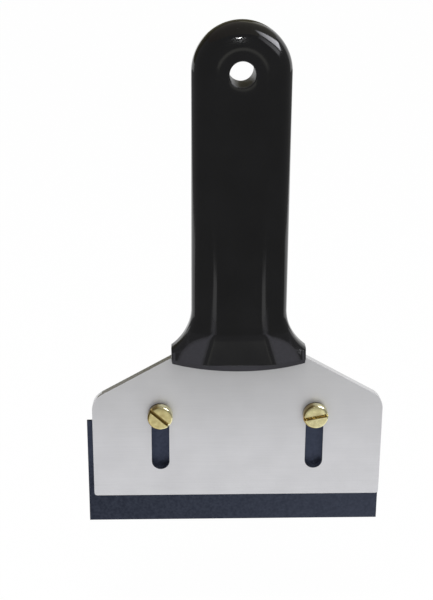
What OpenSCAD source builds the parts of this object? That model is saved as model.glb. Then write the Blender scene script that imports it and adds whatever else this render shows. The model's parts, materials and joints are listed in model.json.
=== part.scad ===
// Scraper with a wide clamped blade. The origin is the centre of the hanging hole.
// X runs across the blade, Y from front to back and Z up along the handle.

/* [Handle] */
// Width of the grip across its sides
grip_w = 31.1; // [28:0.1:34]
// Thickness of the grip from the front flat to the back flat
grip_t = 14; // [12:0.5:18]
// Width of the flats on the front and on the back of the grip
flat_w = 16.4; // [13:0.2:18]
// Radius of the grip's round sides
side_r = 4.5; // [3:0.1:5]
// Thickness of the straight band between the round sides
side_band_t = 2; // [1:0.1:3]
// Radius that softens the edges of the flats
flat_edge_r = 3; // [1:0.1:4]
// Diameter of the hanging hole
hole_d = 8; // [5:0.1:10]
// Distance from the hanging hole down to the lower face of the collar
hole_to_collar = 95.4; // [80:0.1:120]

/* [Collar] */
// Width of the collar
collar_w = 44.4; // [40:0.2:50]
// Height at which the collar's leaning faces leave the grip, above its lower face
collar_h = 11.6; // [9:0.1:15]
// Height of the collar's upright sides
collar_side_h = 5; // [4:0.1:7]
// Thickness of the collar from flat to flat, at the lip
collar_t = 19; // [17:0.2:22]
// Thickness that its side facets would have at its sides, at the lip
collar_side_t = 8.9; // [7:0.1:11]
// Width of its leaning flats where they leave the grip
collar_top_flat_w = 17.5; // [14:0.1:19]
// Width of its leaning flats at the lip
collar_flat_w = 23.4; // [20:0.2:26]
// Radius along the collar's upright sides
collar_edge_r = 1.5; // [0.5:0.1:2]
// Radius of the hollow flare from the grip to the collar
flare_r = 17; // [14:0.1:22]
// Height of the lip round the collar's lower edge
lip_h = 1.9; // [1:0.1:3]
// Thickness of the lip's lower edge at the middle
rim_t = 20.7; // [18:0.1:23]
// Thickness of the lip's lower edge at the sides
rim_side_t = 7.4; // [5:0.1:9]
// How far the lip draws in at the sides
lip_inset = 0.3; // [0.1:0.05:0.8]

/* [Holder plate] */
// Width of the plate
plate_w = 97.7; // [90:0.1:110]
// Thickness of the plate
plate_t = 3; // [2:0.1:4]
// Distance from the collar's lower face down to the plate's lower edge
plate_drop = 49.5; // [46:0.1:60]
// Height of the plate's upright sides, up to the point where the shoulders start
plate_side_h = 35.8; // [32:0.1:38]
// Slope of the shoulders
shoulder_angle = 29.4; // [25:0.1:35]
// Radius of the corners between the sides and the shoulders
shoulder_r = 6.5; // [3:0.1:9]
// Radius of the plate's lower corners
foot_r = 1; // [0.5:0.1:3]
// Width of the tang inside the handle
tang_w = 18; // [14:0.5:22]
// Length of the tang above the collar's lower face
tang_l = 62; // [45:0.5:75]
// Diameter of the holes in the tang that the handle's moulding fills
tang_hole_d = 6; // [4:0.1:9]
// Distance from the tang's end to its upper hole, and between its holes
tang_hole_pitch = 20; // [15:0.5:22]

/* [Slots] */
// Distance between the two slots
slot_pitch = 52.1; // [44:0.1:64]
// Width of each slot
slot_w = 6; // [5.5:0.1:7]
// Distance from the plate's lower edge to the lower end of the slots
slot_foot = 9.9; // [6:0.1:14]

/* [Blade] */
// Width of the blade
blade_w = 100; // [90:0.5:110]
// Height of the blade
blade_h = 38.1; // [34:0.1:42]
// Thickness of the blade
blade_t = 0.8; // [0.4:0.05:1.2]
// How far the blade stands out below the plate
blade_reach = 11.2; // [6:0.1:14]
// How far the blade sits off the middle, to the left
blade_shift = 0.9; // [0:0.1:2]
// Height of the bevel ground on the back of the blade
bevel_h = 3; // [1:0.1:5]
// Thickness left at the cutting edge
edge_t = 0.1; // [0.05:0.01:0.2]

/* [Clamp] */
// Thickness of the clamp plate at its heel
clamp_t = 3; // [2.2:0.1:5]
// How far the clamp plate's ends stop short of the holder plate's sides
clamp_inset = 3; // [1:0.1:8]
// Height of the heel above the blade
heel_h = 9; // [8.5:0.1:10]
// Height of the skirt that presses on the blade
skirt_h = 14; // [10:0.1:18]
// Distance from the top of the blade to the screws
blade_to_screw = 3.4; // [3.2:0.1:5]
// Radius of the clamp plate's corners
clamp_corner_r = 2; // [1:0.1:4]
// Bevel along the lower back edge of the clamp plate
clamp_bevel = 1.2; // [0.5:0.1:1.5]

/* [Screws and nuts] */
// Diameter of the screws
screw_d = 5; // [4:0.1:5.2]
// Diameter of the screw heads
head_d = 8.5; // [7.5:0.1:10]
// Height of the screw heads
head_h = 3.3; // [2.5:0.1:4]
// Width of the screwdriver slots
drive_w = 1.2; // [0.8:0.1:1.6]
// Depth of the screwdriver slots
drive_depth = 1.3; // [0.8:0.1:2]
// Length of screw that stands out of the nuts
screw_end_l = 1; // [0.5:0.1:3]
// Turn of the left screw's slot
left_drive_angle = -42; // [-90:1:90]
// Turn of the right screw's slot
right_drive_angle = 11; // [-90:1:90]
// Diameter of the washers
washer_d = 10; // [9:0.1:12]
// Thickness of the washers
washer_t = 1; // [0.5:0.1:1.5]
// Width of the nuts across their flats
nut_w = 8; // [7.5:0.1:9]
// Thickness of the nuts
nut_t = 4; // [3:0.1:5]

/* [Hidden] */
$fn = 64;

// Extra length that carries a cut or a joined piece past the faces it meets
overrun = 1;
// Radial clearance of a screw in its nut
thread_gap = 0.05;
// Radial clearance of a screw in its washer
washer_gap = 0.15;
// Radial clearance of a screw in the clamp plate
clamp_gap = 0.25;
// Step to which the section's points are rounded, so that faces made in different ways meet
fine_step = 0.001;
// Rounding of a screw head's outer edge
head_edge_r = 0.5;
// Bevel at the end of a screw
screw_bevel = 0.5;
// Bevel at the corners of a nut
nut_bevel = 0.4;

// Heights, from the hanging hole
collar_z = -hole_to_collar;
lip_z = collar_z + lip_h;
plate_z = collar_z - plate_drop;
edge_z = plate_z - blade_reach;
blade_top_z = edge_z + blade_h;
screw_z = blade_top_z + blade_to_screw;
slot_end_z = plate_z + slot_foot + slot_w / 2;
shoulder_z = plate_z + plate_side_h;
tang_top_z = collar_z + tang_l;

// The flare is an arc that leaves the grip upright and stops at the collar's upright sides
flare_axis_x = grip_w / 2 + flare_r;
flare_angle = acos((flare_axis_x - collar_w / 2) / flare_r);
collar_top_z = collar_z + collar_side_h;
flare_z = collar_top_z + flare_r * sin(flare_angle);

// Share of the flare's turn that carries the grip's own section; below it the collar takes over
flare_sweep_share = 0.77;

// The collar's leaning faces: their drop, and the slope of its side facets
lean_z = collar_z + collar_h;
lean_drop = lean_z - lip_z;
facet_slope = (collar_t - collar_side_t) / (collar_w - collar_flat_w);

// Depths, from the middle of the holder plate to the back
plate_back_y = plate_t / 2;
clamp_back_y = plate_back_y + clamp_t;
washer_back_y = clamp_back_y + washer_t;
screw_l = plate_t + clamp_t + washer_t + nut_t + screw_end_l;

// Counts of the steps that make up the handle's curves
edge_steps = 3;
side_steps = 7;
flat_steps = 5;
facet_steps = 4;

function reversed(points) = [for (i = [len(points) - 1:-1:0]) points[i]];

// Slope of the bevelled face that runs from the edge of a flat to the round side
function bevel_fall(half_w, half_t, half_flat, r, half_band) =
    let (across = half_w - r - half_flat)
    let (down = half_t - half_band)
    acos(r / norm([across, down])) - atan2(across, down);

// One quarter of the handle's section: flat, softened edge, bevel and round side
function quarter(half_w, half_t, half_flat, r, half_band, flat_points, bevel_points) =
    let (fall = bevel_fall(half_w, half_t, half_flat, r, half_band))
    let (flat_end = half_flat - flat_edge_r * tan(fall / 2))
    let (edge = [for (i = [0:edge_steps])
        let (turn = fall * i / edge_steps)
        [flat_end + flat_edge_r * sin(turn), half_t - flat_edge_r * (1 - cos(turn))]])
    let (side = [for (i = [0:side_steps])
        let (turn = mix(fall, 90, i / side_steps))
        [half_w - r + r * sin(turn), half_band + r * cos(turn)]])
    let (points = concat(
        [for (i = [0:1:flat_points - 1]) [flat_end * (i + 1 / 2) / flat_points, half_t]],
        edge,
        [for (i = [1:1:bevel_points - 1]) mix(edge[edge_steps], side[0], i / bevel_points)],
        side
    ))
    [for (p = points) [round(p.x / fine_step), round(p.y / fine_step)] * fine_step];

// The whole section, from its quarter at the front right
function section(corner) = concat(
    [for (p = corner) [p.x, -p.y]],
    [for (p = reversed(corner)) [p.x, p.y]],
    [for (p = corner) [-p.x, p.y]],
    [for (p = reversed(corner)) [-p.x, -p.y]]
);

// The right half of the section, closed along the middle
function half_section(corner, half_t) = concat(
    [[0, -half_t]],
    [for (p = corner) [p.x, -p.y]],
    [for (p = reversed(corner)) [p.x, p.y]],
    [[0, half_t]]
);

function mix(from, to, share) = from + (to - from) * share;

// Quarter section of the collar at a height, with leaning flats and side facets
function collar_quarter(half_w, z) =
    let (lean_share = (lean_z - z) / lean_drop)
    let (half_t = mix(grip_t, collar_t, lean_share) / 2)
    let (half_flat = mix(collar_top_flat_w, collar_flat_w, lean_share) / 2)
    let (band_line = half_t - facet_slope * (half_w - collar_edge_r - half_flat))
    quarter(half_w, half_t, half_flat, collar_edge_r,
        band_line - collar_edge_r * norm([1, facet_slope]), flat_steps, facet_steps);

// The lip's lower edge is a bowed outline
rim_half_w = collar_w / 2 - lip_inset;
rim_bow = (rim_t - rim_side_t) / 2;
rim_r = (rim_half_w * rim_half_w + rim_bow * rim_bow) / (2 * rim_bow);
function rim_quarter() = [for (p = collar_quarter(collar_w / 2, lip_z))
    let (x = p.x * rim_half_w / (collar_w / 2))
    [x, rim_t / 2 - rim_r + sqrt(rim_r * rim_r - x * x)]];

function ring(corner, z) = [for (p = section(corner)) [p.x, p.y, z]];

grip_corner = quarter(grip_w / 2, grip_t / 2, flat_w / 2, side_r, side_band_t / 2, 0, 0);

// A solid through rings of points, given from the lowest to the highest, closed by a fan at each end
module loft(rings) {
    n = len(rings[0]);
    top = n * (len(rings) - 1);
    low_middle = n * len(rings);
    top_middle = low_middle + 1;
    polyhedron(
        points = concat(
            [for (ring = rings) each ring],
            [[0, 0, rings[0][0].z], [0, 0, rings[len(rings) - 1][0].z]]
        ),
        faces = concat(
            [for (i = [0:n - 1]) [low_middle, i, (i + 1) % n]],
            [for (i = [0:n - 1]) [top_middle, top + (i + 1) % n, top + i]],
            [for (k = [0:len(rings) - 2], i = [0:n - 1])
                let (low = k * n)
                let (next = (i + 1) % n)
                each [[low + i, low + n + i, low + n + next], [low + i, low + n + next, low + next]]]
        )
    );
}

// Turns a shape drawn in X and Z upright and gives it a depth from front_y to back_y
module upright(front_y, back_y) {
    translate([0, back_y, 0])
        rotate([90, 0, 0])
            linear_extrude(back_y - front_y)
                children();
}

// Draws a shape given in Y and Z along the whole width
module across(width) {
    rotate([90, 0, 90])
        linear_extrude(width, center = true)
            children();
}

// Places a shape made along Z on the axis of one screw, facing back from a depth
module on_screw(side, y) {
    translate([side * slot_pitch / 2, y, screw_z])
        rotate([-90, 0, 0])
            children();
}

// The round end and the straight length of the grip
module grip_solid() {
    rotate([90, 0, 0])
        rotate_extrude(angle = 180)
            polygon(half_section(grip_corner, grip_t / 2));
    translate([0, 0, flare_z])
        linear_extrude(-flare_z)
            polygon(section(grip_corner));
}

// Turns a profile about the axis of the right-hand flare, from the level down
module about_flare(sweep) {
    translate([flare_axis_x, 0, flare_z])
        rotate([90, 0, 0])
            rotate([0, 0, 180])
                rotate_extrude(angle = sweep)
                    children();
}

// The grip's section swept out along the right-hand flare, up to the middle of the handle
module flare_solid() {
    far_r = norm([flare_axis_x, flare_z - lip_z]);
    side = [for (p = grip_corner) [flare_axis_x - p.x, p.y]];
    intersection() {
        about_flare(flare_angle * flare_sweep_share)
            polygon(concat(
                [[far_r, -grip_t / 2]],
                [for (p = side) [p.x, -p.y]],
                reversed(side),
                [[far_r, grip_t / 2]]
            ));
        translate([0, -grip_t, lip_z])
            cube([flare_axis_x, 2 * grip_t, flare_z - lip_z + overrun]);
    }
}

// The leaning collar and its lip, cut back to the grip's round side along both flares
module collar_solid() {
    high_y = rim_t / 2 + overrun;
    count = len(grip_corner);
    cove = [for (i = [count - side_steps:count - 1]) [flare_axis_x - grip_corner[i].x, grip_corner[i].y]];
    difference() {
        loft([
            ring(rim_quarter(), collar_z),
            ring(collar_quarter(collar_w / 2, lip_z), lip_z),
            ring(collar_quarter(collar_w / 2, collar_top_z + overrun), collar_top_z + overrun),
            ring(collar_quarter(grip_w / 2, lean_z + overrun), lean_z + overrun)
        ]);
        for (turn = [0, 180])
            rotate([0, 0, turn])
                about_flare(90)
                    polygon(concat(
                        [[0, -high_y], [cove[0].x, -high_y]],
                        [for (p = cove) [p.x, -p.y]],
                        reversed(cove),
                        [[cove[0].x, high_y], [0, high_y]]
                    ));
    }
}

// Outline of the plate with its tang
module plate_outline() {
    half_w = plate_w / 2;
    corner_run = shoulder_r * tan((90 - shoulder_angle) / 2);
    tang_foot_z = shoulder_z + (half_w - tang_w / 2) * tan(shoulder_angle);
    right_side = [
        [half_w - foot_r, plate_z],
        [half_w, plate_z + foot_r],
        [half_w, shoulder_z - corner_run],
        [half_w - corner_run * cos(shoulder_angle), shoulder_z + corner_run * sin(shoulder_angle)],
        [tang_w / 2, tang_foot_z],
        [tang_w / 2, tang_top_z - tang_w / 2]
    ];
    polygon(concat(right_side, [for (p = reversed(right_side)) [-p.x, p.y]]));
    for (side = [-1, 1]) {
        translate([side * (half_w - foot_r), plate_z + foot_r])
            circle(foot_r);
        translate([side * (half_w - shoulder_r), shoulder_z - corner_run])
            circle(shoulder_r);
    }
    translate([0, tang_top_z - tang_w / 2])
        circle(tang_w / 2);
}

module tang_holes() {
    for (i = [0, 1])
        translate([0, tang_top_z - tang_hole_pitch * (i + 1 / 2)])
            circle(d = tang_hole_d);
}

// Upright slot between two heights, with round ends
module slot(low_z, high_z) {
    translate([-slot_w / 2, low_z])
        square([slot_w, high_z - low_z]);
    for (z = [low_z, high_z])
        translate([0, z])
            circle(d = slot_w);
}

module handle() {
    color("#1e1e20")
        difference() {
            union() {
                grip_solid();
                for (turn = [0, 180])
                    rotate([0, 0, turn])
                        flare_solid();
                collar_solid();
            }
            upright(-plate_t / 2, plate_back_y)
                difference() {
                    plate_outline();
                    tang_holes();
                }
            translate([0, grip_t / 2 + overrun, 0])
                rotate([90, 0, 0])
                    cylinder(h = grip_t + 2 * overrun, d = hole_d);
        }
}

module holder_plate() {
    color("#c4c6ca")
        upright(-plate_t / 2, plate_back_y)
            difference() {
                plate_outline();
                tang_holes();
                for (side = [-1, 1])
                    translate([side * slot_pitch / 2, 0])
                        slot(slot_end_z, screw_z);
            }
}

module blade() {
    color("#2e3340")
        translate([-blade_shift, 0, 0])
            across(blade_w)
                polygon([
                    [plate_back_y, edge_z],
                    [plate_back_y + edge_t, edge_z],
                    [plate_back_y + blade_t, edge_z + bevel_h],
                    [plate_back_y + blade_t, blade_top_z],
                    [plate_back_y, blade_top_z]
                ]);
}

// Heel against the holder plate, and a thinner skirt that leaves room for the blade
module clamp_profile() {
    low_z = blade_top_z - skirt_h;
    polygon([
        [plate_back_y + blade_t, low_z],
        [clamp_back_y - clamp_bevel, low_z],
        [clamp_back_y, low_z + clamp_bevel],
        [clamp_back_y, blade_top_z + heel_h],
        [plate_back_y, blade_top_z + heel_h],
        [plate_back_y, blade_top_z],
        [plate_back_y + blade_t, blade_top_z]
    ]);
}

module clamp_outline() {
    half_w = plate_w / 2 - clamp_inset;
    low_z = blade_top_z - skirt_h;
    high_z = blade_top_z + heel_h;
    translate([-half_w, low_z + clamp_corner_r])
        square([2 * half_w, high_z - low_z - 2 * clamp_corner_r]);
    translate([-half_w + clamp_corner_r, low_z])
        square([2 * (half_w - clamp_corner_r), high_z - low_z]);
    for (side = [-1, 1], z = [low_z + clamp_corner_r, high_z - clamp_corner_r])
        translate([side * (half_w - clamp_corner_r), z])
            circle(clamp_corner_r);
}

module clamp_plate() {
    color("#b9bcc1")
        difference() {
            intersection() {
                across(plate_w)
                    clamp_profile();
                upright(plate_back_y - overrun, clamp_back_y + overrun)
                    clamp_outline();
            }
            for (side = [-1, 1])
                on_screw(side, plate_back_y - overrun)
                    cylinder(h = clamp_t + 2 * overrun, r = screw_d / 2 + clamp_gap);
        }
}

// Turned screw along Z with the underside of its head at zero
module cheese_head_screw(drive_angle) {
    head_r = head_d / 2;
    shank_r = screw_d / 2;
    color("#c8b267")
        difference() {
            rotate_extrude()
                polygon(concat(
                    [[0, -head_h], [head_r - head_edge_r, -head_h]],
                    [for (turn = [30:30:90])
                        [head_r - head_edge_r * (1 - sin(turn)), -head_h + head_edge_r * (1 - cos(turn))]],
                    [[head_r, 0], [shank_r, 0], [shank_r, screw_l - screw_bevel],
                        [shank_r - screw_bevel, screw_l], [0, screw_l]]
                ));
            rotate([0, 0, -drive_angle])
                translate([-head_r - overrun, -drive_w / 2, -head_h - overrun])
                    cube([head_d + 2 * overrun, drive_w, drive_depth + overrun]);
        }
}

module clamp_screw_left() {
    on_screw(-1, -plate_t / 2)
        cheese_head_screw(left_drive_angle);
}

module clamp_screw_right() {
    on_screw(1, -plate_t / 2)
        cheese_head_screw(right_drive_angle);
}

module washer(side) {
    color("#c2ac62")
        on_screw(side, clamp_back_y)
            difference() {
                cylinder(h = washer_t, d = washer_d);
                translate([0, 0, -overrun])
                    cylinder(h = washer_t + 2 * overrun, r = screw_d / 2 + washer_gap);
            }
}

module washer_left() {
    washer(-1);
}

module washer_right() {
    washer(1);
}

// Hexagon with its corners turned off at both faces
module hex_nut(side) {
    corner_r = nut_w / sqrt(3);
    color("#c8b267")
        on_screw(side, washer_back_y)
            difference() {
                intersection() {
                    cylinder(h = nut_t, r = corner_r, $fn = 6);
                    rotate_extrude()
                        polygon([
                            [0, 0],
                            [corner_r - nut_bevel, 0],
                            [corner_r, nut_bevel],
                            [corner_r, nut_t - nut_bevel],
                            [corner_r - nut_bevel, nut_t],
                            [0, nut_t]
                        ]);
                }
                translate([0, 0, -overrun])
                    cylinder(h = nut_t + 2 * overrun, r = screw_d / 2 + thread_gap);
            }
}

module clamp_nut_left() {
    hex_nut(-1);
}

module clamp_nut_right() {
    hex_nut(1);
}

handle();
holder_plate();
blade();
clamp_plate();
clamp_screw_left();
clamp_screw_right();
washer_left();
washer_right();
clamp_nut_left();
clamp_nut_right();
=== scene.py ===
# %% [markdown]
# # Dressing a hand scraper
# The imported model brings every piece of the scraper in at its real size: a moulded handle, a slotted
# plate, a blade, a clamp plate, and the screws, washers and nuts that hold them together.
# This lesson gives each piece its finish, and models again the few pieces whose surface is finer than
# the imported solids: the moulded handle and the threaded screws.
# Lengths are written in millimetres and turned into metres where a mesh is made.

import json
import math

import bmesh
import bpy
from mathutils import Matrix, Vector


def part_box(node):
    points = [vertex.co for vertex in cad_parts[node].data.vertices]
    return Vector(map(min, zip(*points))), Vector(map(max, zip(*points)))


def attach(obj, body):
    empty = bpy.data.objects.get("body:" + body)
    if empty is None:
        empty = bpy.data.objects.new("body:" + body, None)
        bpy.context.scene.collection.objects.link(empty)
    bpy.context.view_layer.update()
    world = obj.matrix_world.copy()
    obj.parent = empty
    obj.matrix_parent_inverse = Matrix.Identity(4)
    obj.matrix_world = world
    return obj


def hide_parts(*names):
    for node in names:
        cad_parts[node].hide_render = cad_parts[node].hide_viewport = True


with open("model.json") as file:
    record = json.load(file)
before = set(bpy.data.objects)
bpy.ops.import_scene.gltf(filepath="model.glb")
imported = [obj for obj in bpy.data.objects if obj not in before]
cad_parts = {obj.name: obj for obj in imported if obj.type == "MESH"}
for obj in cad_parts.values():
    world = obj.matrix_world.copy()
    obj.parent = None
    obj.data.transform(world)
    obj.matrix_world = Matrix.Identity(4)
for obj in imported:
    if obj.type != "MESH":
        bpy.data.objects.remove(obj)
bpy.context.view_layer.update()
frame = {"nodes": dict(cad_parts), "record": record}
MM = 0.001

# %% [markdown]
# ## The camera
# The picture looks down on the scraper from a little to the left, with a fairly long lens.
# A camera can be placed by eye, but straight edges give more: the plate, the slots and the hanging hole
# have known sizes, so the place and the turn of the camera follow from where their edges fall in the
# picture. The values below are that fit, with the focal length in pixels of the picture.

# %% Place the camera
picture_h = 600
focal_px = 1234.0
sensor_w = 36
camera_place = Vector((-19.6, -378.65, 61.8)) * MM
camera_pitch = 0.345
camera_yaw = 0.0324
camera_roll = 0.006

camera_data = bpy.data.cameras.new("camera")
camera_data.sensor_width = sensor_w
camera_data.lens = focal_px * sensor_w / picture_h
camera = bpy.data.objects.new("camera", camera_data)
bpy.context.scene.collection.objects.link(camera)
bpy.context.scene.camera = camera

ahead = Vector((math.sin(camera_yaw) * math.cos(camera_pitch),
                math.cos(camera_yaw) * math.cos(camera_pitch),
                -math.sin(camera_pitch)))
level = Vector((math.cos(camera_yaw), -math.sin(camera_yaw), 0))
right = Matrix.Rotation(-camera_roll, 3, ahead) @ level
above = right.cross(ahead)
turn = Matrix((right, above, -ahead)).transposed()
camera.matrix_world = Matrix.LocRotScale(camera_place, turn.to_quaternion(), None)
print("lens in mm:", round(camera_data.lens, 1))

# %% [markdown]
# ## Floor and sky
# The scraper hangs over a plain white floor, well clear of the lowest reach of its blade.
# The floor and the sky look white to the camera and in reflections, and a little of the floor's own
# shading is kept so that the shadow stays. To every other ray they are ordinary surfaces, so the light
# on the scraper stays at a plain level.

# %% Helpers for node trees
def new_material(name):
    """A new node material, its tree and its principled shader."""
    made = bpy.data.materials.new(name)
    made.use_nodes = True
    return made, made.node_tree, made.node_tree.nodes["Principled BSDF"]


def put(tree, socket, value):
    """Sets a socket to a number, a colour or another node's output."""
    if isinstance(value, bpy.types.NodeSocket):
        tree.links.new(value, socket)
    else:
        socket.default_value = value


def math_node(tree, operation, first, second=0.0):
    """A math node on two values, each a number or an output of another node."""
    node = tree.nodes.new("ShaderNodeMath")
    node.operation = operation
    put(tree, node.inputs[0], first)
    put(tree, node.inputs[1], second)
    return node.outputs["Value"]


def glow_shader(tree, colour):
    """An emission shader of strength 1."""
    node = tree.nodes.new("ShaderNodeEmission")
    node.inputs["Color"].default_value = (*colour, 1)
    return node.outputs["Emission"]


def seen_directly(tree):
    """1 for camera, glossy and transmission rays, which see the background itself."""
    path = tree.nodes.new("ShaderNodeLightPath")
    either = math_node(tree, "MAXIMUM", path.outputs["Is Camera Ray"], path.outputs["Is Glossy Ray"])
    return math_node(tree, "MAXIMUM", either, path.outputs["Is Transmission Ray"])


def put_in_scene(name, mesh):
    """A new object in the scene with this mesh."""
    made = bpy.data.objects.new(name, mesh)
    bpy.context.scene.collection.objects.link(made)
    return made


print("helpers ready")

# %% Lay the floor and hang the sky
floor_z = -200
floor_half = 6000
floor_tone = 0.9
floor_dullness = 0.9
shade_kept = 0.03
sky_strength = 0.8

floor_mesh = bpy.data.meshes.new("floor")
floor_mesh.from_pydata([(x * floor_half * MM, y * floor_half * MM, floor_z * MM)
                        for x, y in ((-1, -1), (1, -1), (1, 1), (-1, 1))], [], [(0, 1, 2, 3)])
floor = put_in_scene("floor", floor_mesh)

floor_white, tree, shader = new_material("floor_white")
shader.inputs["Base Color"].default_value = (floor_tone, floor_tone, floor_tone, 1)
shader.inputs["Roughness"].default_value = floor_dullness
blend = tree.nodes.new("ShaderNodeMixShader")
put(tree, blend.inputs["Fac"], math_node(tree, "MULTIPLY", seen_directly(tree), 1 - shade_kept))
put(tree, blend.inputs[1], shader.outputs["BSDF"])
put(tree, blend.inputs[2], glow_shader(tree, (1, 1, 1)))
put(tree, tree.nodes["Material Output"].inputs["Surface"], blend.outputs["Shader"])
floor_mesh.materials.append(floor_white)

world = bpy.data.worlds.new("white_studio")
world.use_nodes = True
bpy.context.scene.world = world
tree = world.node_tree
lift = math_node(tree, "MULTIPLY", seen_directly(tree), 1 - sky_strength)
put(tree, tree.nodes["Background"].inputs["Color"], (1, 1, 1, 1))
put(tree, tree.nodes["Background"].inputs["Strength"], math_node(tree, "ADD", lift, sky_strength))

bpy.context.scene.view_settings.view_transform = "Standard"

# %% [markdown]
# ## Cards for the reflections
# Glossy black plastic shows almost nothing but its surroundings. In a room that is white all round it
# turns into a flat grey, so a photographer hangs dark flags and leaves a few bright openings.
# Here a dark mat surrounds the white floor near the scraper, and a dark drum and ceiling stand further
# out, open at the back on the right. An arched band behind the camera draws the ring round the hanging
# hole, and window panes draw the streaks on the round end.
# Lamps could do the same, but they would light the scraper too. These cards show only in reflections:
# they give no light and cast no shadow.

# %% Hang the flags
dark_grey = (0.25, 0.25, 0.25)
dark_olive = (0.14, 0.13, 0.085)
dark_brown = (0.26, 0.22, 0.2)
mid_olive = (0.5, 0.49, 0.42)
drum_r = 1300
drum_h = 1000
drum_steps = 36
opening_start, opening_end = 115, 167
back_flag_low = 30
ceiling_strips = 13


def reflected_card(name, points, faces, colour):
    """A card that only shows in reflections."""
    mesh = bpy.data.meshes.new(name)
    mesh.from_pydata([Vector(p) * MM for p in points], [], faces)
    finish, tree, _ = new_material(name)
    put(tree, tree.nodes["Material Output"].inputs["Surface"], glow_shader(tree, colour))
    mesh.materials.append(finish)
    card = put_in_scene(name, mesh)
    card.visible_camera = False
    card.visible_diffuse = False
    card.visible_transmission = False
    card.visible_shadow = False


def flat_card(name, z, rectangles, colour):
    """Level cards at a height, each given by its left, right, near and far sides."""
    points = [(x, y, z) for left, right, near, far in rectangles
              for x, y in ((left, near), (right, near), (right, far), (left, far))]
    faces = [tuple(range(i, i + 4)) for i in range(0, len(points), 4)]
    reflected_card(name, points, faces, colour)


def strip_faces(steps):
    """Quads of a strip whose points come as one edge of steps + 1 points and then the other."""
    return [(i, i + 1, i + steps + 2, i + steps + 1) for i in range(steps)]


def drum_card(name, low, start, end, colour):
    """Part of the round wall, between two angles in degrees from the front towards the right."""
    turns = [math.radians(start + (end - start) * i / drum_steps) for i in range(drum_steps + 1)]
    points = [(drum_r * math.sin(t), -drum_r * math.cos(t), z) for z in (low, drum_h) for t in turns]
    reflected_card(name, points, strip_faces(drum_steps), colour)


drum_card("drum", floor_z, -opening_start, opening_start, dark_grey)
drum_card("back_flag", back_flag_low, opening_end, 360 - opening_start, dark_olive)
for i in range(ceiling_strips):
    left, right = (drum_r * (2 * n / ceiling_strips - 1) for n in (i, i + 1))
    share = i / (ceiling_strips - 1)
    colour = [a + (b - a) * share for a, b in zip(dark_brown, mid_olive)]
    flat_card("ceiling_" + str(i), drum_h, [(left, right, -drum_r, drum_r)], colour)
print("drum of", drum_r, "mm, open from", opening_start, "to", opening_end, "degrees")

# %% Lay the mat round the white floor
front_white_w, back_white_w = 168, 480
white_front, white_step = -395, 50
camera_mat_w, camera_mat_y = 80, -265
mat_lift = 1
mat = [(-drum_r, drum_r, -drum_r, white_front), (-camera_mat_w, camera_mat_w, white_front, camera_mat_y)]
for side in (-1, 1):
    mat.append((side * front_white_w, side * drum_r, white_front, white_step))
    mat.append((side * back_white_w, side * drum_r, white_step, drum_r))
flat_card("floor_mat", floor_z + mat_lift, mat, dark_grey)
print("mat in", len(mat), "pieces")

# %% Set up the arched band
band_x, band_y, band_z = 24, -450, -74
band_inner_r, band_outer_r = 54, 92
band_reach = 75
band_steps = 24
band_colour = (0.75, 0.75, 0.69)
band_turns = [math.radians(band_reach * (2 * i / band_steps - 1)) for i in range(band_steps + 1)]
band_points = [(band_x + r * math.sin(t), band_y, band_z + r * math.cos(t))
               for r in (band_inner_r, band_outer_r) for t in band_turns]
reflected_card("band", band_points, strip_faces(band_steps), band_colour)
print("arched band", band_outer_r - band_inner_r, "mm wide")

# %% Light the windows
window_r = 800
pane_steps = 8
cool_white = (1, 1, 1.06)
soft_white = (1, 1, 1.04)
warm_white = (1, 0.97, 0.75)


def part_way(edge, share):
    """The angles at this share of an edge through three corners."""
    half = 0 if share < 0.5 else 1
    place = 2 * share - half
    return [a + (b - a) * place for a, b in zip(edge[half], edge[half + 1])]


def towards(turn, lift):
    """The place in a window at angles round from the front to the right, and up, in degrees."""
    turn, lift = math.radians(turn), math.radians(lift)
    return (window_r * math.sin(turn) * math.cos(lift), -window_r * math.cos(turn) * math.cos(lift),
            window_r * math.sin(lift))


def window_pane(name, lower, upper, colour, first, last):
    """A pane between two edges, each through three corners given by their angles round and up.

    Its light grows in steps from the first to the last strength."""
    for i in range(pane_steps):
        near, far = i / pane_steps, (i + 1) / pane_steps
        points = [towards(*part_way(edge, share)) for edge, share in
                  ((lower, near), (lower, far), (upper, far), (upper, near))]
        strength = first + (last - first) * i / (pane_steps - 1)
        reflected_card(name + "_" + str(i), points, [(0, 1, 2, 3)], [c * strength for c in colour])


window_pane("window_far", [(38, 46), (48, 35.5), (73, 21)], [(53, 65), (68, 53.5), (97, 33)],
            cool_white, first=3, last=10)
window_pane("window_near", [(21, 28), (24, 17.5), (47, 11)], [(33, 42), (40, 30.5), (65, 19)],
            soft_white, first=0.8, last=2)
window_pane("skylight", [(148, 36), (165, 37), (180, 38)], [(148, 46), (165, 49), (180, 46)],
            warm_white, first=0.8, last=0.8)

# %% [markdown]
# ## Lamps
# The sky gives most of the light. A large soft box high in front adds a direction and the soft shadows,
# and a small lamp above the camera leaves the small highlight over the hanging hole.
# One lamp could do both, but it would lie on the black plastic as a large bright patch, so the soft box
# is hidden from reflections and the small lamp is too weak to light much.

# %% Hang the lamps
subject = Vector((0, 0, -70)) * MM
key_place, key_size, key_watts = (-50, -350, 900), (300, 400), 4
spot_place, spot_size, spot_watts = (1, -385, 114), (15, 8), 0.1


def soft_box(name, place, size, watts):
    """A rectangular lamp that faces the scraper."""
    data = bpy.data.lights.new(name, "AREA")
    data.shape = "RECTANGLE"
    data.size, data.size_y = size[0] * MM, size[1] * MM
    data.energy = watts
    lamp = bpy.data.objects.new(name, data)
    lamp.location = Vector(place) * MM
    lamp.rotation_mode = "QUATERNION"
    lamp.rotation_quaternion = (subject - lamp.location).to_track_quat("-Z", "Y")
    bpy.context.scene.collection.objects.link(lamp)
    return lamp


key = soft_box("key", key_place, key_size, key_watts)
key.visible_glossy = False
soft_box("spot", spot_place, spot_size, spot_watts)

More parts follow.
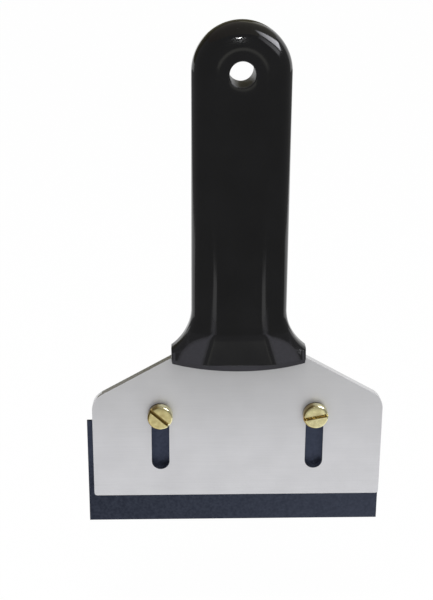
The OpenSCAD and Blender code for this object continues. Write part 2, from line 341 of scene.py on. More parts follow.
# %% [markdown]
# ## The handle's form
# The handle is one moulding. Its grip has a flat front and back, sloping facets and round sides, and
# the same section runs round the end, where the facets are gentler, and out along a hollow flare at
# each side. Below that a collar leans out in flat facets, and a thin bowed lip closes it.
# All of this is a thickness over the outline seen from the front, so one function of the place across
# and the height gives every point: the grip's section by its distance from the outline, the collar's
# planes, and the rounding of the edges. Whichever stands out more shows.

# %% Measure the handle
hang_hole = next(m for m in frame["record"]["mounts"] if m["name"] == "hang_hole")
hole_r = hang_hole["dims"]["r_mm"]
grip_half_t = hang_hole["dims"]["length_mm"] / 2
handle_low, handle_high = (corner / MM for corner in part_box("handle"))
grip_half_w = handle_high.z
collar_half_w = handle_high.x
collar_z = handle_low.z
rim_half_t = handle_high.y

flat_half = 8.2
side_r = 4.5
side_half_band = 1.0
flare_r = 17.0
collar_h = 11.6
collar_side_h = 5.0
lip_h = 1.9

lean_z = collar_z + collar_h
collar_top_z = collar_z + collar_side_h
lip_z = collar_z + lip_h
flare_axis_x = grip_half_w + flare_r
flare_z = collar_top_z + math.sqrt(flare_r ** 2 - (flare_axis_x - collar_half_w) ** 2)

print("grip", round(2 * grip_half_w, 1), "x", 2 * grip_half_t, "mm, flare from", round(flare_z, 1),
      "to", round(collar_top_z, 1))

# %% Measure the grip's section
end_fall = math.radians(10)
fall_start_z, fall_end_z = -20, -70
facet_run = grip_half_w - side_r - flat_half
facet_drop = grip_half_t - side_half_band
grip_fall = (math.acos(side_r / math.hypot(facet_run, facet_drop))
             - math.atan2(facet_run, facet_drop))


def limited(share):
    """A share kept from 0 to 1."""
    return min(max(share, 0), 1)


def section_at(z):
    """The facet's fall, the round side's radius and the depth where they meet, at a height.

    The facets fall gently round the end and more steeply towards the collar."""
    share = limited((z - fall_start_z) / (fall_end_z - fall_start_z))
    fall = end_fall + (grip_fall - end_fall) * share * share * (3 - 2 * share)
    r = ((facet_drop * math.cos(fall) - (grip_half_w - flat_half) * math.sin(fall))
         / (1 - math.sin(fall)))
    return fall, r, r * (1 - math.sin(fall))


for z in (0, lean_z):
    fall, r, _ = section_at(z)
    print("at height", round(z, 1), "the facets fall", round(math.degrees(fall), 1),
          "degrees and the sides have a radius of", round(r, 2))

# %% Measure the collar's planes
collar_half_t = 9.5
collar_side_half_t = 4.45
collar_flat_half = 11.7
collar_top_flat_half = 8.75
collar_edge_r = 1.5
cove_depth = 2.14
soft_edge = 0.7
soft_half_w = 1.75
soft_crease = 0.2
soft_lean = 0.6

lean_h = lean_z - lip_z
front_lean = (collar_half_t - grip_half_t) / lean_h
facet_slope = (collar_half_t - collar_side_half_t) / (collar_half_w - collar_flat_half)
facet_lean = front_lean + facet_slope * (collar_flat_half - collar_top_flat_half) / lean_h
print("collar leans", round(math.degrees(math.atan(front_lean)), 1), "degrees in front and",
      round(math.degrees(math.atan(facet_lean)), 1), "at its sides")

# %% Describe its thickness
def smooth_min(a, b, soft):
    """The smaller of two values, blended where they are close."""
    near = max(soft - abs(a - b), 0) / soft
    return min(a, b) - near * near * soft / 4


def smooth_max(a, b, soft):
    """The larger of two values, blended where they are close."""
    return -smooth_min(-a, -b, soft)


def outline_half_w(z):
    """Half width of the outline below the hanging hole."""
    drop = min(max(flare_z - z, 0), flare_z - collar_top_z)
    return grip_half_w + flare_r - math.sqrt(flare_r ** 2 - drop ** 2)


def inside(x, z):
    """How far a point lies inside the outline."""
    if z >= 0:
        return grip_half_w - math.hypot(x, z)
    if z >= flare_z:
        return grip_half_w - abs(x)
    return math.hypot(flare_axis_x - abs(x), flare_z - z) - flare_r


def rounded(depth, r, half_band):
    """Half thickness of a round edge at a depth inside it."""
    return half_band + math.sqrt(max(r ** 2 - (r - min(depth, r)) ** 2, 0))


def collar_front(z):
    """Half thickness of the collar's leaning front."""
    return grip_half_t + front_lean * (lean_z - z)


def collar_facet(x, z):
    """Half thickness of the collar's leaning side facet."""
    return grip_half_t + facet_lean * (lean_z - z) - facet_slope * (abs(x) - collar_top_flat_half)


def half_thickness(x, z):
    """Half thickness of the handle at a place across and a height."""
    depth = inside(x, z)
    fall, r, round_depth = section_at(z)
    facet = grip_half_t - (grip_half_w - flat_half - depth) * math.tan(fall)
    skin = smooth_min(grip_half_t, facet, soft_half_w * math.tan(fall))
    if z < flare_z:
        collar = smooth_min(collar_front(z), collar_facet(x, z), soft_edge)
        at_facet = limited((abs(x) - flat_half) / (collar_flat_half - flat_half))
        skin = smooth_max(skin, collar, soft_lean + (soft_crease - soft_lean) * at_facet)
        round_depth = cove_depth
    if depth < round_depth:
        skin = min(skin, rounded(max(depth, 0), r, side_half_band))
    side_depth = collar_half_w - abs(x)
    if z < flare_z and side_depth < collar_edge_r:
        band = (collar_facet(collar_half_w - collar_edge_r, z)
                - collar_edge_r * math.hypot(1, facet_slope))
        skin = min(skin, rounded(max(side_depth, 0), collar_edge_r, band))
    return skin


print("half thickness at the grip", round(half_thickness(0, -40), 2), "and at the lip",
      round(half_thickness(0, lip_z), 2))

# %% [markdown]
# ## The handle's mesh
# A voxel remesh of the solid would lose the crisp facets, and a subdivided block would need many
# support loops. A grid is better here: round the hanging hole it runs in rings, below it in rows, and
# both share the same columns, which lie closest where the section turns fastest.
# The front grid is mirrored to the back and a band joins the two along the outline.

# %% Lay out the columns and rows
def spread(start, end, count):
    """Even steps from start up to, but not including, end."""
    return [start + (end - start) * i / count for i in range(count)]


hole_edge_r = 0.35
hole_rim = hole_r + hole_edge_r
hole_clear = 2.0
hole_steps = 24
end_steps = 96
grip_top_z = -12
soft_w = 2.0
flat_columns, soft_columns, facet_columns, round_columns = 3, 18, 12, 16
grip_rows, flare_rows, collar_rows = 24, 64, 20

tangent_x = grip_half_w - section_at(flare_z)[2]
columns = (spread(hole_rim, flat_half - soft_w, flat_columns)
           + spread(flat_half - soft_w, flat_half + soft_w, soft_columns)
           + spread(flat_half + soft_w, tangent_x, facet_columns)
           + [grip_half_w - side_r + side_r * math.sin(turn)
              for turn in spread(grip_fall, math.pi / 2, round_columns)]
           + [grip_half_w])
inner_angles = [math.pi * i / hole_steps for i in range(1, hole_steps)]
end_angles = [math.pi * i / end_steps for i in range(end_steps + 1)]
rows = ([-hole_rim - hole_clear]
        + spread(grip_top_z, flare_z, grip_rows)
        + spread(flare_z, collar_top_z, flare_rows)
        + spread(collar_top_z, lip_z, collar_rows)
        + [lip_z])
print(len(columns), "columns and", len(rows), "rows")

# %% A builder for skins of points and quads
shared_digits = 4


class SkinBuilder:
    """Collects points and faces, and shares a point that is asked for twice."""

    def __init__(self):
        self.points, self.faces, self.known = [], [], {}

    def point(self, x, y, z):
        key = tuple(round(part, shared_digits) for part in (x, y, z))
        if key not in self.known:
            self.known[key] = len(self.points)
            self.points.append((x * MM, y * MM, z * MM))
        return self.known[key]

    def strip(self, first, second):
        """Quads between two rows of points, given as indices."""
        for a, b, c, d in zip(first, first[1:], second[1:], second):
            face = [i for n, i in enumerate((a, b, c, d)) if i not in (a, b, c, d)[:n]]
            if len(face) > 2:
                self.faces.append(face)

    def mesh(self, name):
        made = bpy.data.meshes.new(name)
        made.from_pydata(self.points, [], self.faces)
        made.validate()
        work = bmesh.new()
        work.from_mesh(made)
        bmesh.ops.recalc_face_normals(work, faces=work.faces)
        print(name, "has", len(work.faces), "faces and",
              sum(1 for e in work.edges if len(e.link_faces) != 2), "open edges")
        work.to_mesh(made)
        work.free()
        return made


print("builder ready")

# %% Shape the lip
rim_side_half_t = 3.7
rim_inset = 0.3
rim_edge_r = 0.3
lip_steps = 6
rim_half_w = collar_half_w - rim_inset
rim_rise = rim_half_t - rim_side_half_t
rim_bow_r = (rim_half_w ** 2 + rim_rise ** 2) / (2 * rim_rise)


def lip_rows(xs):
    """Rows of (x, half thickness, z) from under the lip's upper edge to its bowed rim and round it."""
    made = []
    rim = []
    for x in xs:
        rim_x = x * rim_half_w / collar_half_w
        rim.append((rim_x, rim_half_t - rim_bow_r + math.sqrt(rim_bow_r ** 2 - rim_x ** 2)))
    for step in range(1, lip_steps + 1):
        share = step / lip_steps
        z = lip_z - (lip_h - rim_edge_r) * share
        made.append([(x + (rx - x) * share, half_thickness(x, lip_z) * (1 - share) + rt * share, z)
                     for x, (rx, rt) in zip(xs, rim)])
    for turn in (math.pi / 6, math.pi / 3, math.pi / 2):
        inset = rim_edge_r * (1 - math.cos(turn))
        z = collar_z + rim_edge_r * (1 - math.sin(turn))
        made.append([(rx * (1 - inset / rim_half_w), rt - inset, z) for rx, rt in rim])
    return made


print("the rim bows at a radius of", round(rim_bow_r, 1), "mm")

# %% Build the handle's skin
hole_edge_steps = 4


def face_grid(skin, face_side):
    """The front (-1) or back (1) of the handle. Returns the last row, along the rim."""
    rings = [[skin.point(c * math.cos(a), face_side * half_thickness(c, 0), c * math.sin(a))
              for a in end_angles] for c in columns]
    for first, second in zip(rings, rings[1:]):
        skin.strip(first, second)
    before = ([skin.point(-c, face_side * half_thickness(c, 0), 0) for c in reversed(columns)]
              + [skin.point(-hole_rim * math.cos(a), face_side * grip_half_t, -hole_rim * math.sin(a))
                 for a in inner_angles]
              + [skin.point(c, face_side * half_thickness(c, 0), 0) for c in columns])
    for z in rows:
        wider = (outline_half_w(z) - grip_half_w) / (grip_half_w - hole_rim)
        right_x = [c + wider * (c - hole_rim) for c in columns]
        xs = [-x for x in reversed(right_x)] + [-hole_rim * math.cos(a) for a in inner_angles] + right_x
        row = [skin.point(x, face_side * half_thickness(x, z), z) for x in xs]
        skin.strip(before, row)
        before = row
    for lip_row in lip_rows(xs):
        row = [skin.point(x, face_side * t, z) for x, t, z in lip_row]
        skin.strip(before, row)
        before = row
    return before


def side_band(skin, side):
    """The narrow band between front and back along the left (-1) or right (1) outline."""
    edge = [(side * grip_half_w, half_thickness(grip_half_w, 0), 0.0)]
    edge += [(side * outline_half_w(z), half_thickness(outline_half_w(z), z), z) for z in rows]
    edge += [row[0] for row in lip_rows([side * collar_half_w])]
    skin.strip([skin.point(x, -t, z) for x, t, z in edge], [skin.point(x, t, z) for x, t, z in edge])


def hole_wall(skin):
    """The wall of the hanging hole, with a rounded edge front and back."""
    angles = end_angles + [math.pi + a for a in inner_angles] + [0.0]
    edge_turns = [math.pi / 2 * i / hole_edge_steps for i in range(hole_edge_steps + 1)]
    wall = [(hole_rim - hole_edge_r * math.sin(turn), -grip_half_t + hole_edge_r * (1 - math.cos(turn)))
            for turn in edge_turns]
    wall += [(r, -y) for r, y in reversed(wall)]
    rings = [[skin.point(r * math.cos(a), y, r * math.sin(a)) for a in angles] for r, y in wall]
    for first, second in zip(rings, rings[1:]):
        skin.strip(first, second)


skin = SkinBuilder()
front_rim, back_rim = face_grid(skin, -1), face_grid(skin, 1)
for side in (-1, 1):
    side_band(skin, side)
end_edge = [(grip_half_w * math.cos(a), half_thickness(grip_half_w, 0), grip_half_w * math.sin(a))
            for a in end_angles]
skin.strip([skin.point(x, -t, z) for x, t, z in end_edge], [skin.point(x, t, z) for x, t, z in end_edge])
hole_wall(skin)
skin.strip(front_rim, back_rim)
handle = put_in_scene("handle_moulding", skin.mesh("handle_moulding"))

# %% [markdown]
# ## Room for the tang
# The plate runs up into the handle as a tang with two holes, and the moulding closes round it.
# The room could be drawn again by hand, but the plate is already here: a welded copy of it cuts the
# handle with a Boolean, so the room fits whatever the plate measures, plugs in the tang's holes included.

# %% Cut the room and finish the shading
join_distance = 0.002
handle_crisp_angle = 32


def welded_copy(node):
    """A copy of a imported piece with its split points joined, to cut other meshes with."""
    work = bmesh.new()
    work.from_mesh(frame["nodes"][node].data)
    bmesh.ops.remove_doubles(work, verts=work.verts, dist=join_distance * MM)
    mesh = bpy.data.meshes.new(node + "_cutter")
    work.to_mesh(mesh)
    work.free()
    return put_in_scene(node + "_cutter", mesh)


def cut_away(piece, cutter):
    """Cuts the cutter's shape out of the piece and removes the cutter."""
    cut = piece.modifiers.new("cut", "BOOLEAN")
    cut.operation = "DIFFERENCE"
    cut.solver = "EXACT"
    cut.object = cutter
    bpy.context.view_layer.update()
    done = bpy.data.meshes.new_from_object(piece.evaluated_get(bpy.context.evaluated_depsgraph_get()))
    piece.modifiers.clear()
    piece.data = done
    bpy.data.objects.remove(cutter)


def smooth_between(piece, degrees):
    """Smooth shading, with edges sharper than this angle kept crisp."""
    piece.data.shade_smooth()
    piece.data.set_sharp_from_angle(angle=math.radians(degrees))


cut_away(handle, welded_copy("holder_plate"))
smooth_between(handle, handle_crisp_angle)
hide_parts("handle")
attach(handle, "holder")
print("handle with its room:", len(handle.data.polygons), "faces")

# %% [markdown]
# ## Glossy black plastic
# The handle is moulded from a hard black plastic in a polished mould: nearly no colour of its own, and
# a clear gloss. Real mouldings are never perfect mirrors, so the gloss varies in soft clouds and a very
# fine orange peel bends the reflections.
# The collar's side facets and its lip are satin, and the bore and a line above each facet partly so.
# These places are also painted a lighter grey: a painted sheen on the facets, lip and bore, and a painted
# highlight along each line. Separate materials would leave hard borders, so a share kept on each point
# blends the two finishes.

# %% Helpers for procedural finishes
def object_place(tree, stretch=(1, 1, 1)):
    """The place on the piece in millimetres, stretched along each axis."""
    coordinates = tree.nodes.new("ShaderNodeTexCoord")
    mapping = tree.nodes.new("ShaderNodeMapping")
    mapping.inputs["Scale"].default_value = [s / MM for s in stretch]
    put(tree, mapping.inputs["Vector"], coordinates.outputs["Object"])
    return mapping.outputs["Vector"]


def noise(tree, size, detail=2.0, stretch=(1, 1, 1)):
    """Noise with features of about this size in millimetres."""
    node = tree.nodes.new("ShaderNodeTexNoise")
    node.inputs["Scale"].default_value = 1 / size
    node.inputs["Detail"].default_value = detail
    put(tree, node.inputs["Vector"], object_place(tree, stretch))
    return node.outputs["Fac"]


def between(tree, value, low, high, start=0.3, end=0.7):
    """Maps a value that runs from start to end, as noise mostly does from 0.3 to 0.7, onto low to high."""
    node = tree.nodes.new("ShaderNodeMapRange")
    for name, number in (("From Min", start), ("From Max", end), ("To Min", low), ("To Max", high)):
        node.inputs[name].default_value = number
    put(tree, node.inputs["Value"], value)
    return node.outputs["Result"]


def two_colours(tree, factor, first, second):
    """A mix of two colours, each a triple or another node's output."""
    node = tree.nodes.new("ShaderNodeMix")
    node.data_type = "RGBA"
    colours = [socket for socket in node.inputs if socket.type == "RGBA"]
    for socket, colour in zip(colours, (first, second)):
        put(tree, socket, colour if isinstance(colour, bpy.types.NodeSocket) else (*colour, 1))
    put(tree, node.inputs["Factor"], factor)
    return next(socket for socket in node.outputs if socket.type == "RGBA")


def place_parts(tree):
    """The three parts of the place on the piece, in millimetres."""
    split = tree.nodes.new("ShaderNodeSeparateXYZ")
    put(tree, split.inputs["Vector"], object_place(tree))
    return [split.outputs[axis] for axis in "XYZ"]


def relief(tree, shader, height, depth):
    """Bump of this depth in millimetres on the shader."""
    node = tree.nodes.new("ShaderNodeBump")
    node.inputs["Distance"].default_value = depth * MM
    put(tree, node.inputs["Height"], height)
    put(tree, shader.inputs["Normal"], node.outputs["Normal"])


print("finish helpers ready")

# %% Mark the satin facets and their painted sheen
satin_and_sheen_fade = 0.5
facet_reach = 0.2
end_clear = 0.3
bore_reach = 0.05
bore_satin_and_sheen = 0.6
line_off = 0.2
line_reach = 1.2
line_fade_h = 9.0
line_painted_highlight = 0.55
front_satin_and_sheen = 0.08


def satin_and_sheen_share(point):
    """1 on the collar's side facets and its lip, which are satin and painted lighter as a painted sheen,
    and 0 on the polished grip.
    """
    x, y, z = point / MM
    if z < lip_z:
        return 1.0
    # the bore is duller and painted a little lighter, as a painted sheen
    if math.hypot(x, z) < hole_r + bore_reach:
        return bore_satin_and_sheen
    if z > lean_z:
        # a painted highlight along the crease above each facet, fading upwards
        on_line = limited(line_reach - abs(abs(x) - flat_half - line_off))
        return line_painted_highlight * on_line * limited((lean_z + line_fade_h - z) / line_fade_h)
    side = collar_facet(x, z)
    past_crease = limited((collar_front(z) - side + soft_edge) / satin_and_sheen_fade)
    off_facet = min(abs(abs(y) - side) / facet_reach, 1)
    off_end = limited((collar_half_w - abs(x) - end_clear) / satin_and_sheen_fade)
    depth = max(inside(x, z), 0)
    off_cove = 1
    if depth < cove_depth:
        off_cove = limited((rounded(depth, side_r, side_half_band) - side) / facet_reach)
    on_front = limited((lean_z - z) / satin_and_sheen_fade)
    return max(past_crease * (1 - off_facet) * off_end * off_cove, front_satin_and_sheen * on_front)


satin_and_sheen = handle.data.attributes.new("satin_and_sheen", "FLOAT", "POINT")
satin_and_sheen.data.foreach_set("value", [satin_and_sheen_share(v.co) for v in handle.data.vertices])
print("satin points:", sum(1 for entry in satin_and_sheen.data if entry.value > 0.5))

# %% Mix the black plastic
deep_black, soft_black = (0.002, 0.002, 0.0022), (0.004, 0.004, 0.0045)
dark_painted_sheen, light_painted_sheen = (0.0325, 0.032, 0.0365), (0.0415, 0.041, 0.0475)
cloud_size, grain_size, peel_size = 14, 0.35, 0.9
peel_depth = 0.002
polished_dullness = (0.08, 0.13)
satin_dulling = 0.42
polished_shine, satin_shine = 0.5, 0.06

black_plastic, tree, shader = new_material("black_plastic")
mask = tree.nodes.new("ShaderNodeAttribute")
mask.attribute_name = "satin_and_sheen"
on_satin_and_sheen = mask.outputs["Fac"]
clouds = noise(tree, cloud_size, detail=4)
polished = two_colours(tree, between(tree, clouds, 0, 1), deep_black, soft_black)
grain = noise(tree, grain_size, detail=2)
# painted sheen: the satin places get a lighter grey, and the lines above the facets a painted highlight
painted_sheen_colour = two_colours(tree, between(tree, grain, 0, 1), dark_painted_sheen, light_painted_sheen)
put(tree, shader.inputs["Base Color"], two_colours(tree, on_satin_and_sheen, polished, painted_sheen_colour))
gloss = between(tree, clouds, *polished_dullness)
duller = math_node(tree, "MULTIPLY", on_satin_and_sheen, satin_dulling)
put(tree, shader.inputs["Roughness"], math_node(tree, "ADD", gloss, duller))
shine = between(tree, on_satin_and_sheen, polished_shine, satin_shine, 0, 1)
put(tree, shader.inputs["Specular IOR Level"], shine)
relief(tree, shader, noise(tree, peel_size, detail=1), peel_depth)
handle.data.materials.clear()
handle.data.materials.append(black_plastic)
print("black plastic on", handle.name)

# %% [markdown]
# ## Satin aluminium
# The holder plate and the clamp plate behind it are stamped from aluminium sheet and brushed across.
# The brushing shows as fine lines that run sideways, with clouds where the brush pressed harder, and
# the sheet is painted darker near the collar, as painted shade.
# The sheared edges aren't brushed, so they are brighter metal. They could be picked by hand, face by
# face, but a mask by the way a face points finds them on any plate.

# %% A way to dress a imported piece
bevel_steps = 3
bevel_angle = 35


def dress(node, finish, edge=0.0):
    """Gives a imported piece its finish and, if asked, a small rounding of its edges."""
    piece = frame["nodes"][node]
    piece.data.materials.clear()
    piece.data.materials.append(finish)
    if edge > 0:
        weld = piece.modifiers.new("join_points", "WELD")
        weld.merge_threshold = join_distance * MM
        bevel = piece.modifiers.new("soft_edges", "BEVEL")
        bevel.width = edge * MM
        bevel.segments = bevel_steps
        bevel.limit_method = "ANGLE"
        bevel.angle_limit = math.radians(bevel_angle)
        bevel.harden_normals = True
    print(node, "dressed in", finish.name)


print("dressing ready")

# %% Mix the satin aluminium
dark_sheet, light_sheet = (0.66, 0.66, 0.68), (0.7, 0.7, 0.722)
painted_shade_sheet = (0.54, 0.54, 0.543)
most_sheet_shade = 0.75
sheet_shade_start_z, sheet_shade_end_z = -126, -96
brush_size, brush_stretch, brush_depth = 1.0, (0.08, 1, 6), 0.002
press_size = 9
least_tone, most_tone = 0.7, 1.3
brushed_metal = 0.65
sheet_dullness = (0.5, 0.44)
shear_polish, shear_facing = 0.24, 0.5
plate_edge = 0.25

satin_aluminium, tree, shader = new_material("satin_aluminium")
brushed = noise(tree, brush_size, detail=3, stretch=brush_stretch)
pressed = noise(tree, press_size, detail=4)
tone = between(tree, math_node(tree, "ADD", brushed, pressed), 0, 1, least_tone, most_tone)
sheet = two_colours(tree, tone, dark_sheet, light_sheet)
_, _, height = place_parts(tree)
# painted shade: the sheet's colour darkens towards the collar
painted_shade_near_collar = between(tree, height, 0, most_sheet_shade, sheet_shade_start_z, sheet_shade_end_z)
put(tree, shader.inputs["Base Color"], two_colours(tree, painted_shade_near_collar, sheet, painted_shade_sheet))
facing = tree.nodes.new("ShaderNodeNewGeometry")
split = tree.nodes.new("ShaderNodeSeparateXYZ")
put(tree, split.inputs["Vector"], facing.outputs["Normal"])
to_the_front = math_node(tree, "ABSOLUTE", split.outputs["Y"])
sheared = math_node(tree, "LESS_THAN", to_the_front, shear_facing)
put(tree, shader.inputs["Metallic"], between(tree, sheared, brushed_metal, 1, 0, 1))
dullness = between(tree, tone, *sheet_dullness, 0, 1)
brighter = math_node(tree, "MULTIPLY", sheared, shear_polish)
put(tree, shader.inputs["Roughness"], math_node(tree, "SUBTRACT", dullness, brighter))
relief(tree, shader, brushed, brush_depth)
dress("holder_plate", satin_aluminium, plate_edge)
dress("clamp_plate", satin_aluminium, plate_edge)

# %% [markdown]
# ## Blued steel
# The blade is a plain strip of spring steel, dark blue from the heat that hardened it, a little lighter
# towards the right, and painted lighter and bluer towards its top, as painted light where the plate shades
# it.
# Its sharp edge is ground from the back, and the ground face is bright bare steel. It is part of the
# same piece, so instead of a second material a mask by place on the piece changes the finish there.

# %% Mix the blued steel
blade_low, blade_high = (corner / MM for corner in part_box("blade"))
ground_h = 3.0
front_skin = 0.05
dark_blue, light_blue = (0.029, 0.034, 0.051), (0.045, 0.052, 0.074)
right_blue, most_right_blue = (0.066, 0.076, 0.108), 0.5
painted_top_blue, most_painted_top = (0.072, 0.086, 0.135), 0.4
top_light_start_z, top_light_end_z = -140, -130
dark_bare, light_bare = (0.42, 0.43, 0.45), (0.62, 0.63, 0.65)
mottle_size, mottle_depth = 0.9, 0.004
stroke_size, stroke_stretch = 0.5, (3, 1, 0.1)
blued_dullness = (0.5, 0.4)

blued_steel, tree, shader = new_material("blued_steel")
mottle = noise(tree, mottle_size, detail=4)
blued = two_colours(tree, between(tree, mottle, 0, 1), dark_blue, light_blue)
across, back, height = place_parts(tree)
# a little lighter towards the right
towards_right = between(tree, across, 0, most_right_blue, blade_low.x, blade_high.x)
blued = two_colours(tree, towards_right, blued, right_blue)
# painted light: lighter and bluer towards the top, where the plate shades the blade seen through its slots
painted_top_light = between(tree, height, 0, most_painted_top, top_light_start_z, top_light_end_z)
blued = two_colours(tree, painted_top_light, blued, painted_top_blue)
low_enough = math_node(tree, "LESS_THAN", height, blade_low.z + ground_h)
at_back = math_node(tree, "GREATER_THAN", back, blade_low.y + front_skin)
ground = math_node(tree, "MULTIPLY", low_enough, at_back)
strokes = noise(tree, stroke_size, detail=2, stretch=stroke_stretch)
bare = two_colours(tree, strokes, dark_bare, light_bare)
put(tree, shader.inputs["Base Color"], two_colours(tree, ground, blued, bare))
shader.inputs["Metallic"].default_value = 1.0
put(tree, shader.inputs["Roughness"], between(tree, mottle, *blued_dullness))
relief(tree, shader, mottle, mottle_depth)
dress("blade", blued_steel)

# %% [markdown]
# ## Brass screws
# Two slotted screws hold the clamp. Each has a round head with a worn, rounded rim and a drive slot,
# and a fine thread that shows behind the nut. The imported screws have plain shanks and tighter rims.
# A bump map wouldn't change their outline, so they are turned again here: a ring of points for each
# step along the axis, whose radius also follows the thread's helix.
# Their brass is painted pale on the right of the side as a painted highlight and browner on its left as
# painted shade; it is browner in the slot, as patina and painted shade, and dark at the seat as a painted
# shadow.

# %% Turn a screw
screw_r = 2.5
neck_r = 2.15
thread_pitch = 0.8
thread_depth = 0.43
rings_per_turn = 10
flank_rise, crest_share = 2.6, 0.2
thread_run_in, thread_run_out, thread_lead = 1.0, 0.6, 0.2
neck_round = 0.3
tip_bevel = 0.4
tip_inner_r = 0.6
ring_points = 64
rim_r = 0.8
rim_steps = 5
face_rings = (0.5, 1.5, 2.5)
seat_bevel = 0.1
drive_w = 1.2
drive_depth = 1.3
cutter_reach = 1
seat_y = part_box("holder_plate")[0].y / MM


def thread_radius(y, angle):
    """Radius of the thread's flank at a place along the axis and an angle round it."""
    phase = (y / thread_pitch + angle / (2 * math.pi)) % 1
    flank = limited(flank_rise * abs(phase - 0.5) - crest_share)
    return screw_r - thread_depth * flank


def turned_screw(name, front, back, head_r):
    """A screw along y, with its head in front, centred on its axis."""
    thread_start, thread_end = seat_y + thread_run_in, back - thread_run_out
    rim_turns = [math.pi / 2 * i / rim_steps for i in range(rim_steps + 1)]
    head = [(r, front) for r in face_rings]
    head += [(head_r - rim_r * (1 - math.sin(t)), front + rim_r * (1 - math.cos(t))) for t in rim_turns]
    head += [(head_r, (front + seat_y) / 2), (head_r, seat_y - seat_bevel), (head_r - seat_bevel, seat_y)]
    neck = [(neck_r + neck_round, seat_y), (neck_r, seat_y + neck_round),
            (neck_r, thread_start - thread_lead)]
    tip = [(neck_r, thread_end), (neck_r - tip_bevel, back), (tip_inner_r, back)]
    steps = round((thread_end - thread_start) / (thread_pitch / rings_per_turn))
    angles = [2 * math.pi * i / ring_points for i in range(ring_points + 1)]
    rings = [[(r, y)] * len(angles) for r, y in head + neck]
    for y in spread(thread_start, thread_end, steps):
        rings.append([(thread_radius(y, a), y) for a in angles[:-1]] + [(thread_radius(y, 0), y)])
    rings += [[(r, y)] * len(angles) for r, y in tip]
    skin = SkinBuilder()
    rows = [[skin.point(r * math.cos(a), y, r * math.sin(a)) for (r, y), a in zip(ring, angles)]
            for ring in rings]
    for row in rows:
        row[-1] = row[0]
    for first, second in zip(rows, rows[1:]):
        skin.strip(first, second)
    for ring, y in ((rows[0], front), (rows[-1], back)):
        skin.strip(ring, [skin.point(0, y, 0)] * len(ring))
    return skin.mesh(name)


def drive_cutter(angle, front, head_r):
    """A bar that cuts the drive slot at this angle from level."""
    along = Vector((math.cos(angle), 0, math.sin(angle))) * (head_r + cutter_reach)
    across = Vector((-math.sin(angle), 0, math.cos(angle))) * drive_w / 2
    points = [along * s + across * t + Vector((0, front + y, 0))
              for y in (-cutter_reach, drive_depth) for s, t in ((-1, -1), (1, -1), (1, 1), (-1, 1))]
    mesh = bpy.data.meshes.new("drive_cutter")
    mesh.from_pydata([p * MM for p in points], [],
                     [(0, 1, 2, 3), (7, 6, 5, 4), (0, 4, 5, 1), (1, 5, 6, 2), (2, 6, 7, 3), (3, 7, 4, 0)])
    return put_in_scene("drive_cutter", mesh)


print("heads sit at y =", seat_y, "mm")

# %% Mix the brass
brown = (0.3, 0.2, 0.06)
highlight_pale = (0.98, 0.93, 0.6)
seat_shadow = (0.04, 0.024, 0.01)
patch_size, most_patch, patch_dulling = 1.6, 0.45, 0.12
side_start, side_full = 0.6, 0.35
slot_start, slot_full, most_slot = 0.15, 0.9, 0.8
side_shade_full_x, side_shade_end_x, most_side_shade = -1.2, -0.2, 0.8
highlight_start_x, highlight_full_x, most_highlight = -0.6, 0.4, 0.95
seat_shadow_start, seat_shadow_full, most_seat_shadow = 1.0, 0.7, 0.95
seat_shadow_fade_x, seat_shadow_end_x = 1.6, 3.4
least_side_dull = 0.05
mark_scale, mark_waviness, mark_depth = 1.4, 1.0, 0.002


def brass(name, pale, polish):
    """Bright brass with browner, duller patches.

    Returns the material, its tree, its shader, its colour and its dullness."""
    made, tree, shader = new_material(name)
    patches = noise(tree, patch_size, detail=4)
    colour = two_colours(tree, between(tree, patches, 0, most_patch), pale, brown)
    dullness = between(tree, patches, polish, polish + patch_dulling)
    put(tree, shader.inputs["Base Color"], colour)
    shader.inputs["Metallic"].default_value = 1.0
    put(tree, shader.inputs["Roughness"], dullness)
    return made, tree, shader, colour, dullness


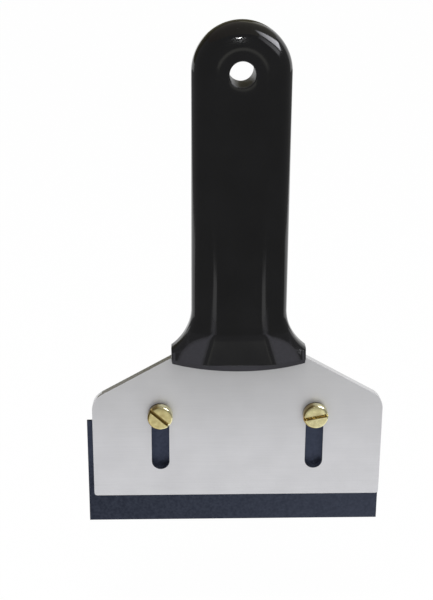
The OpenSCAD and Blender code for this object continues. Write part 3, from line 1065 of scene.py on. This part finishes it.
def screw_brass(name, pale, polish, head_front, head_r):
    """Brass for a screw, with a brown slot of patina and painted shade, a painted highlight and painted
    shade on its side, a painted shadow at the seat, and tool marks.
    """
    made, tree, shader, colour, dullness = brass(name, pale, polish)
    across, along, height = place_parts(tree)
    squares = [math_node(tree, "MULTIPLY", part, part) for part in (across, height)]
    off_axis = math_node(tree, "SQRT", math_node(tree, "ADD", *squares))
    on_side = between(tree, off_axis, 0, 1, head_r - side_start, head_r - side_full)

    # browner in the drive slot: patina, and painted shade for its depth
    sunk = between(tree, along, 0, most_slot, head_front + slot_start, head_front + slot_full)
    within = math_node(tree, "LESS_THAN", off_axis, head_r - side_full)
    colour = two_colours(tree, math_node(tree, "MULTIPLY", sunk, within), colour, brown)
    # painted shade: the left of the head's side is browner
    painted_shade_left = between(tree, across, most_side_shade, 0, side_shade_full_x, side_shade_end_x)
    colour = two_colours(tree, math_node(tree, "MULTIPLY", painted_shade_left, on_side), colour, brown)
    # painted highlight: the right of the head's side is paler
    painted_highlight_right = between(tree, across, 0, most_highlight, highlight_start_x, highlight_full_x)
    colour = two_colours(tree, math_node(tree, "MULTIPLY", painted_highlight_right, on_side), colour, highlight_pale)
    # painted shadow: dark brown where the head meets the plate, fading towards the right
    at_seat = between(tree, along, 0, most_seat_shadow, seat_y - seat_shadow_start, seat_y - seat_shadow_full)
    shadowed_side = math_node(tree, "MULTIPLY", between(tree, across, 1, 0, seat_shadow_fade_x, seat_shadow_end_x), on_side)
    painted_seat_shadow = math_node(tree, "MULTIPLY", at_seat, shadowed_side)
    put(tree, shader.inputs["Base Color"], two_colours(tree, painted_seat_shadow, colour, seat_shadow))

    brighter = math_node(tree, "MULTIPLY", on_side, polish - least_side_dull)
    put(tree, shader.inputs["Roughness"], math_node(tree, "SUBTRACT", dullness, brighter))
    marks = tree.nodes.new("ShaderNodeTexWave")
    marks.wave_type = "RINGS"
    marks.rings_direction = "Y"
    marks.inputs["Scale"].default_value = mark_scale
    marks.inputs["Distortion"].default_value = mark_waviness
    put(tree, marks.inputs["Vector"], object_place(tree))
    relief(tree, shader, marks.outputs["Fac"], mark_depth)
    return made


print("brass mixers ready")

# %% Place both screws
screw_crisp_angle = 40
# the left screw's brass is darker and the right one's paler: painted shade and painted light for how each
# head faces the light
screws = {"left": {"angle": -42, "pale": (0.74, 0.66, 0.33), "polish": 0.28},
          "right": {"angle": 11, "pale": (0.78, 0.735, 0.42), "polish": 0.24}}
for hand, look in screws.items():
    low, high = (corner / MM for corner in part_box("clamp_screw_" + hand))
    axis = (low + high) / 2
    head_r = (high.x - low.x) / 2
    screw = put_in_scene("brass_screw_" + hand,
                         turned_screw("brass_screw_" + hand, low.y, high.y, head_r))
    cut_away(screw, drive_cutter(math.radians(look["angle"]), low.y, head_r))
    smooth_between(screw, screw_crisp_angle)
    screw.location = Vector((axis.x, 0, axis.z)) * MM
    screw.data.materials.clear()
    screw.data.materials.append(screw_brass("brass_" + hand, look["pale"], look["polish"], low.y, head_r))
    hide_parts("clamp_screw_" + hand)
    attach(screw, hand + "_screw")
    print(hand, "screw at x", round(axis.x, 2), "z", round(axis.z, 2), "mm")

# %% Dress the nuts and washers
nut_pale, nut_polish = (0.8, 0.71, 0.37), 0.2
nick_size, nick_depth = 0.4, 0.002
nut_edge = 0.15
plain_brass, tree, shader, *_ = brass("brass_nut", nut_pale, nut_polish)
relief(tree, shader, noise(tree, nick_size, detail=3), nick_depth)
for hand in screws:
    dress("clamp_nut_" + hand, plain_brass, nut_edge)
    dress("washer_" + hand, plain_brass, nut_edge)
